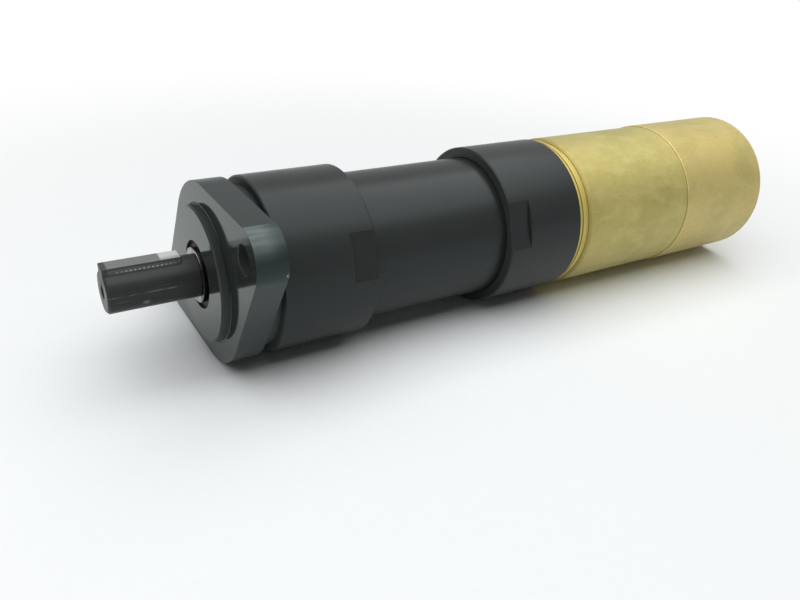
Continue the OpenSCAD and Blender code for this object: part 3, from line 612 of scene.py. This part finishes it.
class Look(Nodes):
    """A procedural material in the part's own coordinates."""

    def __init__(self, name, **fixed):
        self.material = bpy.data.materials.new(name)
        self.material.use_nodes = True
        super().__init__(self.material.node_tree)
        self.shader = self.tree.nodes["Principled BSDF"]
        for socket, value in fixed.items():
            self.shader.inputs[socket.replace("_", " ")].default_value = value
        self.place = self.tree.nodes.new("ShaderNodeTexCoord").outputs["Object"]

    def mix(self, share, a, b):
        return self.node("ShaderNodeMix", {0: share, 6: a, 7: b}, output=2, data_type="RGBA")

    def grain(self, scale, detail=3.0, stretch=(1, 1, 1), roughness=0.5, shift=0.0):
        """Noise with this many features to a metre, times the stretch along each axis."""
        scaled = self.node("ShaderNodeMapping", {
            "Vector": self.place, "Scale": [scale * s for s in stretch], "Location": (shift, shift, shift)})
        return self.node("ShaderNodeTexNoise", {
            "Vector": scaled, "Scale": 1.0, "Detail": detail, "Roughness": roughness})

    def vary(self, noise, low, high):
        """A level that follows a noise, from low to high."""
        return self.ramp(noise, NOISE_LOW, NOISE_HIGH, low, high)

    def split(self):
        """The x, y and z of the place."""
        made = self.tree.nodes.new("ShaderNodeSeparateXYZ")
        self.tree.links.new(self.place, made.inputs[0])
        return made.outputs

    def distance(self, point):
        """How far the place is from a point."""
        inputs = {0: self.place, 1: point}
        return self.node("ShaderNodeVectorMath", inputs, output="Value", operation="DISTANCE")

    def near(self, value, middle, width):
        """1 where a value is near the middle, and 0 at a width from it."""
        return self.ramp(self.math("ABSOLUTE", self.math("SUBTRACT", value, middle)), 0.0, width, 1.0, 0.0)

    def bump(self, height, depth, normal=None):
        inputs = {"Height": height, "Strength": 1.0, "Distance": depth}
        if normal:
            inputs["Normal"] = normal
        return self.node("ShaderNodeBump", inputs)

    def wear(self, radius):
        """1 on the edges of the shape, 0 on its plain faces."""
        soft = self.node("ShaderNodeBevel", {"Radius": radius}, samples=4)
        plain = self.tree.nodes.new("ShaderNodeNewGeometry").outputs["Normal"]
        inputs = {0: soft, 1: plain}
        level = self.node("ShaderNodeVectorMath", inputs, output="Value", operation="DOT_PRODUCT")
        return self.ramp(level, 0.98, 0.80)

    def finish(self, color, roughness, normal=None):
        self.feed(self.shader.inputs["Base Color"], color)
        self.feed(self.shader.inputs["Roughness"], roughness)
        if normal:
            self.feed(self.shader.inputs["Normal"], normal)
        return self.material


def tone(level, red, green, blue):
    """A colour at a level of brightness."""
    return red * level, green * level, blue * level, 1


def satin(look, cloud, speck):
    """The roughness of satin blackened steel."""
    return look.ramp(look.math("ADD", cloud, look.times(speck, 0.6)), 0.4, 1.2, 0.27, 0.37)


def black_steel():
    """Satin blackened steel with fine marks from turning."""
    look = Look("black_steel", IOR=1.355, Specular_Tint=(0.86, 1.0, 1.0, 1))
    cloud = look.grain(55)
    lines = look.grain(1, detail=2, stretch=(6000, 20, 20))
    speck = look.grain(2600, detail=2)
    color = look.mix(cloud, (0.0125, 0.0140, 0.0135, 1), (0.0195, 0.0212, 0.0205, 1))
    worn = look.times(look.wear(0.3 * MM), look.ramp(speck, 0.35, 0.7), 0.25)
    color = look.mix(worn, color, (0.10, 0.11, 0.11, 1))
    normal = look.bump(lines, 0.0015 * MM)
    return look.finish(color, satin(look, cloud, speck), look.bump(speck, FINE_DEPTH, normal))


def flange_steel():
    """Blackened steel of the flange: paler at mid height, with a painted highlight on the near lobe's
    rounding, and nicked.
    """
    look = Look("flange_steel", IOR=1.36, Specular_Tint=(0.80, 1.0, 1.0, 1))
    x, y, z = look.split()
    lobe_y = lobe_centre[0]
    cloud = look.grain(55)
    streak = look.grain(1, detail=3, stretch=(90, 900, 900))
    speck = look.grain(2600, detail=2)
    color = look.mix(cloud, (0.012, 0.0175, 0.0170, 1), (0.019, 0.0265, 0.0255, 1))
    paler = look.times(look.ramp(z, *FLANGE_PALE_TOP), look.ramp(z, *FLANGE_PALE_FOOT))
    color = look.mix(paler, color, (0.034, 0.039, 0.038, 1))
    # Painted highlight: a pale streaky band on the near lobe's upper rounding, where the lamp's reflection
    # falls
    painted_highlight = look.times(
        look.ramp(y, lobe_y + 0.1 * MM, lobe_y - 0.3 * MM), look.ramp(z, *LOBE_HIGHLIGHT_UP),
        look.ramp(x, *LOBE_HIGHLIGHT_FORWARD, 0.15, 1.0), look.ramp(streak, 0.3, 0.65, 0.6, 1.0))
    color = look.mix(painted_highlight, color, (0.125, 0.147, 0.143, 1))
    nick = look.times(look.ramp(look.distance(NICK_PLACE), 0.7 * MM, 0.3 * MM), look.ramp(speck, 0.38, 0.5))
    color = look.mix(nick, color, (0.34, 0.34, 0.33, 1))
    return look.finish(color, satin(look, cloud, speck), look.bump(speck, FINE_DEPTH))


def recess_black(name, level, shade=0.75):
    """Blackened faces in recesses, duller than the outside, on a base paler than the outside steel as painted
    light, with painted shade towards the top and a broken painted highlight line at the pilot's foot.
    """
    look = Look(name, IOR=1.35, Specular_Tint=(0.80, 1.0, 1.0, 1))
    place = look.split()
    x, z = place[0], place[2]
    cloud = look.grain(70)
    speck = look.grain(2600, detail=2)
    color = look.mix(cloud, tone(level, 0.76, 0.88, 0.86), tone(level, 1.0, 1.14, 1.10))
    # Painted shade: darker towards the top of the recess, where the lamp's light does not reach
    color = look.mix(look.ramp(z, *RECESS_SHADE_UP, 0.0, shade), color, (0.006, 0.007, 0.007, 1))
    # Painted highlight: a pale line along the pilot's foot, broken where the shaft's dark reflection crosses
    # it
    unbroken = look.ramp(look.near(z, FOOT_HIGHLIGHT_BREAK_Z, 8 * MM), 0.0, 0.6, 1.0, 0.0)
    line = look.times(look.near(x, relief_depth, 0.1 * MM), unbroken)
    color = look.mix(line, color, (0.21, 0.22, 0.215, 1))
    rough = look.vary(speck, 0.45, 0.60)
    return look.finish(color, rough, look.bump(speck, FINE_DEPTH))


def ground_black(name, tint, level):
    """Flat faces: blackened, but ground smooth enough to mirror what is near them."""
    look = Look(name, IOR=1.38, Specular_Tint=tint)
    cloud = look.grain(70)
    lines = look.grain(1, detail=2, stretch=(30, 2400, 160))
    color = look.mix(cloud, tone(level, 0.83, 1.0, 0.95), tone(level, 1.18, 1.40, 1.32))
    rough = look.vary(cloud, 0.08, 0.13)
    return look.finish(color, rough, look.bump(lines, 0.0003 * MM))


def shaft_steel():
    """Blackened shaft with fine scratches along it, a pale line, a smudge and a greyer end face."""
    look = Look("shaft_steel", IOR=1.37)
    x, y, z = look.split()
    cloud = look.grain(160)
    streak = look.grain(1, detail=3, stretch=(130, 3600, 3600))
    near_side = look.ramp(y, *NEAR_SIDE)
    line = look.times(
        look.near(z, SHAFT_LINE_Z, 0.28 * MM), look.ramp(x, *SHAFT_LINE_BACK), near_side,
        look.ramp(look.grain(420, shift=2), 0.36, 0.62), look.ramp(x, *SHAFT_LINE_FAINT, 0.5, 1.0), 0.45)
    smudge = look.times(look.near(x, SMUDGE_X, 1.1 * MM), look.near(z, SMUDGE_Z, 0.8 * MM), near_side, 0.6)
    face = look.ramp(x, shaft_tip_x + 0.10 * MM, shaft_tip_x + 0.02 * MM)
    dulled = look.times(face, look.vary(cloud, 0.45, 0.8))
    color = look.mix(cloud, (0.014, 0.015, 0.015, 1), (0.025, 0.027, 0.026, 1))
    color = look.mix(look.ramp(streak, 0.60, 0.74, 0.0, 0.14), color, (0.25, 0.26, 0.25, 1))
    color = look.mix(line, color, (0.25, 0.27, 0.26, 1))
    color = look.mix(smudge, color, (0.25, 0.27, 0.26, 1))
    color = look.mix(dulled, color, (0.115, 0.120, 0.115, 1))
    rough = look.vary(cloud, 0.34, 0.46)
    return look.finish(color, rough, look.bump(streak, FINE_DEPTH))


def key_steel():
    """Blackened key, worn grey, with a bright inner end and a row of bright dots along its foot: burrs,
    painted as glints.
    """
    look = Look("key_steel", IOR=1.5)
    x, y, z = look.split()
    cloud = look.grain(300)
    streak = look.grain(1, detail=3, stretch=(150, 2600, 2600))
    speck = look.grain(1, detail=1, stretch=(700, 300, 300), shift=4)
    ragged = look.math("ADD", x, look.times(look.math("SUBTRACT", cloud, 0.5), 0.6 * MM))
    top = look.ramp(z, key_high.z - 0.11 * MM, key_high.z - 0.03 * MM)
    below_top = look.ramp(z, key_high.z - 0.3 * MM, key_high.z - 0.7 * MM)
    side = look.times(below_top, look.ramp(ragged, key_low.x + 0.8 * MM, key_low.x + 1.6 * MM))
    grey = look.times(top, look.ramp(ragged, key_low.x + 1.0 * MM, key_low.x + 1.3 * MM))
    bright = look.times(top, look.ramp(ragged, *KEY_BRIGHT))
    shine = look.ramp(look.math("ADD", y, look.times(streak, MM)), key_low.y + 0.5 * MM, 0.5 * MM)
    wave = look.math("SINE", look.times(x, 2 * math.pi / DOTS_PITCH))
    # Burrs along the key's foot, painted as bright glints
    dots = look.times(
        look.near(z, DOTS_Z, 0.26 * MM), look.ramp(wave, -0.2, 0.8, 0.12, 1.0),
        look.ramp(speck, 0.30, 0.55, 0.4, 1.0), look.ramp(x, *DOTS_FRONT), look.ramp(x, *DOTS_BACK))
    color = look.mix(streak, (0.012, 0.013, 0.013, 1), (0.030, 0.032, 0.031, 1))
    color = look.mix(side, color, look.mix(streak, (0.060, 0.063, 0.062, 1), (0.105, 0.109, 0.107, 1)))
    color = look.mix(grey, color, look.mix(streak, (0.11, 0.115, 0.115, 1), (0.19, 0.195, 0.19, 1)))
    color = look.mix(bright, color, look.mix(shine, (0.30, 0.31, 0.30, 1), (0.60, 0.61, 0.60, 1)))
    color = look.mix(dots, color, (0.62, 0.64, 0.63, 1))
    rough = look.vary(streak, 0.34, 0.48)
    return look.finish(color, rough, look.bump(streak, FINE_DEPTH))


def ring_steel():
    """Bright steel of the spacer ring, smudged with oil, with a painted dark reflection on the near side."""
    look = Look("ring_steel", Metallic=1.0)
    y = look.split()[1]
    smudge = look.grain(420, detail=4)
    lines = look.grain(1, detail=2, stretch=(9000, 60, 60))
    color = look.mix(look.ramp(smudge, 0.40, 0.60), (0.17, 0.155, 0.14, 1), (0.38, 0.375, 0.36, 1))
    # Painted reflection: the near side darkened as if mirroring the dark shaft
    color = look.mix(look.ramp(y, *RING_DARK_REFLECTION, 0.0, 0.94), color, (0.030, 0.028, 0.026, 1))
    rough = look.vary(smudge, 0.30, 0.20)
    return look.finish(color, rough, look.bump(lines, 0.001 * MM))


def turned_brass():
    """Satin turned brass under a thin clear film, dulled and stained by handling, with a painted highlight on
    the front rings, painted shade at the groove's end and a painted light line on the cap's seam.
    """
    look = Look("turned_brass", Metallic=0.85, IOR=1.5, Coat_Weight=0.4, Coat_Roughness=0.4)
    x = look.split()[0]
    cloud = look.grain(60, detail=5, roughness=0.65)
    blotch = look.grain(210, detail=5, roughness=0.7, shift=7)
    fine = look.grain(1, detail=3, stretch=(800, 1900, 1900), shift=2)
    smear = look.grain(1, detail=4, stretch=(140, 300, 300), shift=3)
    lines = look.grain(1, detail=3, stretch=(7000, 18, 18))
    on_cap = look.ramp(x, exhaust_x1 - MM, exhaust_x1)
    warm = look.times(on_cap, look.ramp(cloud, 0.42, 0.60, 0.55, 1.0), 0.7)
    near_groove = look.ramp(x, groove_x1 + BRASS_STAIN_LENGTH, groove_x1)
    stain = look.times(near_groove, look.ramp(cloud, 0.42, 0.60), 0.28)
    # Painted highlight: the rings and groove ahead of the main body painted brighter, fading out just past
    # the groove's end
    painted_highlight = look.times(look.ramp(x, groove_x1 + 0.6 * MM, groove_x1), 0.7)
    # Dark dirt in the slit, and painted shade in the groove where it meets the step; both take the same dark
    # brown
    slit_dirt = look.times(look.near(x, slit_x, 0.25 * MM), 0.6)
    groove_shade = look.near(x, groove_x1 + 0.1 * MM, 0.75 * MM)
    dirt_and_shade = look.times(look.math("MAXIMUM", slit_dirt, groove_shade), 0.42)
    # Painted light: a pale line on the cap's front bevel at the seam, brightening a face that turns away from
    # the lamp
    painted_seam_light = look.times(look.near(x, exhaust_x1 + 0.1 * MM, 0.3 * MM), 0.3)
    color = look.mix(look.ramp(cloud, 0.38, 0.62), (0.42, 0.365, 0.112, 1), (0.48, 0.418, 0.138, 1))
    color = look.mix(look.ramp(blotch, 0.52, 0.75, 0.0, 0.45), color, (0.38, 0.315, 0.095, 1))
    color = look.mix(warm, color, (0.58, 0.455, 0.165, 1))
    color = look.mix(look.ramp(fine, 0.50, 0.72, 0.0, 0.35), color, (0.36, 0.30, 0.10, 1))
    color = look.mix(look.ramp(smear, 0.46, 0.68, 0.0, 0.4), color, (0.56, 0.490, 0.205, 1))
    color = look.mix(stain, color, (0.33, 0.245, 0.075, 1))
    color = look.mix(painted_highlight, color, (0.56, 0.450, 0.115, 1))
    color = look.mix(dirt_and_shade, color, (0.16, 0.110, 0.040, 1))
    color = look.mix(painted_seam_light, color, (0.66, 0.57, 0.30, 1))
    rough = look.ramp(look.math("ADD", blotch, look.times(fine, 0.5)), 0.5, 1.0, 0.50, 0.60)
    return look.finish(color, rough, look.bump(lines, 0.002 * MM))


def bright_steel():
    """Ground bearing steel."""
    look = Look("bright_steel", Metallic=1.0)
    cloud = look.grain(220)
    lines = look.grain(1, detail=2, stretch=(9000, 60, 60))
    color = look.mix(cloud, (0.40, 0.40, 0.40, 1), (0.54, 0.54, 0.535, 1))
    rough = look.vary(lines, 0.10, 0.18)
    return look.finish(color, rough, look.bump(lines, 0.001 * MM))


def grey_iron():
    """Machined iron and hardened gear steel, dark grey with an oily film."""
    look = Look("grey_iron", Metallic=0.9)
    cloud = look.grain(180, detail=4)
    speck = look.grain(2200, detail=2)
    color = look.mix(cloud, (0.20, 0.20, 0.21, 1), (0.32, 0.32, 0.32, 1))
    rough = look.vary(speck, 0.36, 0.50)
    return look.finish(color, rough, look.bump(speck, FINE_DEPTH))


def black_rubber():
    """Matte sealing rubber."""
    look = Look("black_rubber", Specular_IOR_Level=0.35)
    speck = look.grain(2400, detail=3)
    color = look.mix(speck, (0.032, 0.033, 0.033, 1), (0.050, 0.051, 0.051, 1))
    rough = look.vary(speck, 0.55, 0.72)
    return look.finish(color, rough, look.bump(speck, 0.006 * MM))


def vane_laminate():
    """Woven laminate of the vanes."""
    look = Look("vane_laminate")
    weave_x = look.grain(1, detail=1, stretch=(300, 2600, 2600))
    weave_y = look.grain(1, detail=1, stretch=(2600, 300, 300), shift=5)
    weave = look.times(weave_x, weave_y)
    color = look.mix(look.ramp(weave, 0.15, 0.35), (0.20, 0.10, 0.04, 1), (0.40, 0.23, 0.10, 1))
    rough = look.ramp(weave, 0.15, 0.35, 0.60, 0.45)
    return look.finish(color, rough, look.bump(weave, 0.01 * MM))


def sintered_bronze():
    """Porous bronze of the silencer: small round grains."""
    look = Look("sintered_bronze", Metallic=0.8)
    cells = look.node("ShaderNodeTexVoronoi", {"Vector": look.place, "Scale": 2400.0}, output="Distance")
    color = look.mix(look.ramp(cells, 0.2, 0.6), (0.50, 0.38, 0.20, 1), (0.10, 0.07, 0.03, 1))
    rough = look.ramp(cells, 0.2, 0.6, 0.45, 0.75)
    return look.finish(color, rough, look.bump(look.times(cells, -1.0), 0.12 * MM))


# Stage
def pale_floor(height, size=6.0, clear=0.08, fade=0.30):
    """A pale table that fades into the white background away from the object."""
    mesh = bpy.data.meshes.new("floor")
    half = size / 2
    corners = [(-half, -half), (half, -half), (half, half), (-half, half)]
    mesh.from_pydata([(x, y, height) for x, y in corners], [], [(0, 1, 2, 3)])
    floor = bpy.data.objects.new("floor", mesh)
    bpy.context.scene.collection.objects.link(floor)
    look = Look("pale_floor", Specular_IOR_Level=0.2)
    speck = look.grain(900, detail=2)
    look.finish(look.mix(speck, (0.895, 0.925, 0.930, 1), (0.925, 0.950, 0.955, 1)), 0.6)
    path = look.tree.nodes.new("ShaderNodeLightPath").outputs
    seen = look.math("MAXIMUM", path["Is Camera Ray"], path["Is Glossy Ray"])
    seen = look.math("MAXIMUM", seen, path["Is Transmission Ray"])
    middle = ((cad_box[0][0] + cad_box[1][0]) / 2, 0, height)
    share = look.times(seen, look.ramp(look.distance(middle), clear, fade))
    white = look.node("ShaderNodeEmission", {"Color": (1, 1, 1, 1), "Strength": 1.0})
    blend = look.node("ShaderNodeMixShader", {0: share, 1: look.shader.outputs[0], 2: white})
    look.tree.links.new(blend, look.tree.nodes["Material Output"].inputs["Surface"])
    mesh.materials.append(look.material)


def studio_world():
    """Soft light from all around. The room that is mirrored is a little brighter overhead."""
    world = bpy.data.worlds.new("studio")
    bpy.context.scene.world = world
    world.use_nodes = True
    world.node_tree.nodes.clear()
    nodes = Nodes(world.node_tree)

    def background(strength):
        return nodes.node("ShaderNodeBackground", {"Color": (1, 1, 1, 1), "Strength": strength})

    path = nodes.tree.nodes.new("ShaderNodeLightPath").outputs
    direction = nodes.tree.nodes.new("ShaderNodeTexCoord").outputs["Generated"]
    up = nodes.node("ShaderNodeSeparateXYZ", {0: direction}, output="Z")
    soft = background(FILL_LIGHT)
    room = background(nodes.ramp(up, 0.0, 0.7, ROOM_LEVEL, ROOM_OVERHEAD))
    white = background(1.0)
    mirrored = nodes.math("MAXIMUM", path["Is Glossy Ray"], path["Is Transmission Ray"])
    blend = nodes.node("ShaderNodeMixShader", {0: mirrored, 1: soft, 2: room})
    blend = nodes.node("ShaderNodeMixShader", {0: path["Is Camera Ray"], 1: blend, 2: white})
    output = nodes.tree.nodes.new("ShaderNodeOutputWorld")
    nodes.tree.links.new(blend, output.inputs["Surface"])


def softbox(name, place, target, width, height, power):
    lamp = bpy.data.lights.new(name, "AREA")
    lamp.shape = "RECTANGLE"
    lamp.size = width
    lamp.size_y = height
    lamp.energy = power
    holder = bpy.data.objects.new(name, lamp)
    bpy.context.scene.collection.objects.link(holder)
    holder.location = place
    holder.rotation_mode = "QUATERNION"
    holder.rotation_quaternion = (Vector(target) - Vector(place)).to_track_quat("-Z", "Y")


def photo_camera():
    lens = bpy.data.cameras.new("camera")
    lens.lens = CAMERA_LENS
    lens.sensor_width = CAMERA_SENSOR
    lens.clip_start = 0.01
    camera = bpy.data.objects.new("camera", lens)
    bpy.context.scene.collection.objects.link(camera)
    camera.location = CAMERA_PLACE
    camera.rotation_mode = "QUATERNION"
    level = (CAMERA_TARGET - CAMERA_PLACE).to_track_quat("-Z", "Y")
    camera.rotation_quaternion = level @ Quaternion((0, 0, 1), CAMERA_ROLL)
    bpy.context.scene.camera = camera


# Scene
photo_camera()
bpy.context.scene.view_settings.view_transform = "Standard"
studio_world()
pale_floor(cad_box[0][2])
softbox("overhead_softbox", LAMP_PLACE, LAMP_TARGET, LAMP_WIDTH, LAMP_HEIGHT, LAMP_POWER)

looks = {
    "black_steel": black_steel(), "blackened_shaft": shaft_steel(), "brass": turned_brass(),
    "bright_steel": bright_steel(), "grey_iron": grey_iron(), "rubber": black_rubber(),
    "vane_laminate": vane_laminate(), "sintered_bronze": sintered_bronze()}
# The recesses' levels are paler than the outside steel's: painted light where little of the lamp reaches
recess_look = recess_black("recess_black", level=0.070)
rim_look = recess_black("rim_black", level=0.036, shade=0.0)
face_look = ground_black("ground_face", tint=(0.56, 1.0, 0.88, 1), level=0.0205)
flat_look = ground_black("ground_flat", tint=(0.85, 0.88, 0.88, 1), level=0.017)

# The bolt holes' level is paler still: painted light inside them
plate_looks = [flange_steel(), face_look, recess_look, recess_black("hole_black", level=0.10)]
plate = dress(flange(), plate_looks, node="front_flange")
paint(plate, 1, faces_front)
paint(plate, 2, in_flange_recess)
paint(plate, 3, in_bolt_hole)
sleeve_looks = [looks["black_steel"], recess_look, flat_look]
sleeve = dress(gear_housing(), sleeve_looks, node="gear_housing")
paint(sleeve, 1, faces_front)
paint(sleeve, 2, on_flat)
dress(motor_tube(), [looks["black_steel"]], node="motor_tube")
collar = dress(rear_collar(), [looks["black_steel"], rim_look], node="rear_collar")
paint(collar, 1, faces_front)
for build, node in ((exhaust_body, "exhaust_body"), (inlet_cap, "inlet_cap")):
    dress(build(), [looks["brass"]], node=node)
inlet_thread = thread(
    "inlet_thread", inlet_core_r, cap_x1 - inlet_depth, cap_x1 - inlet_pitch / 2, inlet_pitch)
dress(inlet_thread, [looks["brass"]])
dress(output_shaft(), [looks["blackened_shaft"]], body="output", node="output_shaft")
dress(shaft_key(), [key_steel()], body="output", node="shaft_key")
dress(shaft_spacer(), [ring_steel()], body="output", node="shaft_spacer")
tip_thread = thread("tip_thread", tip_core_r, shaft_tip_x + tip_pitch, shaft_tip_x + tip_depth, tip_pitch)
dress(tip_thread, [looks["blackened_shaft"]], body="output")

# The solids that stay as they are get the look of their material slot
for part in frame["record"]["subparts"]:
    solid = frame["nodes"][part["node"]]
    solid.data.materials.clear()
    solid.data.materials.append(looks[part["material_slot"]])
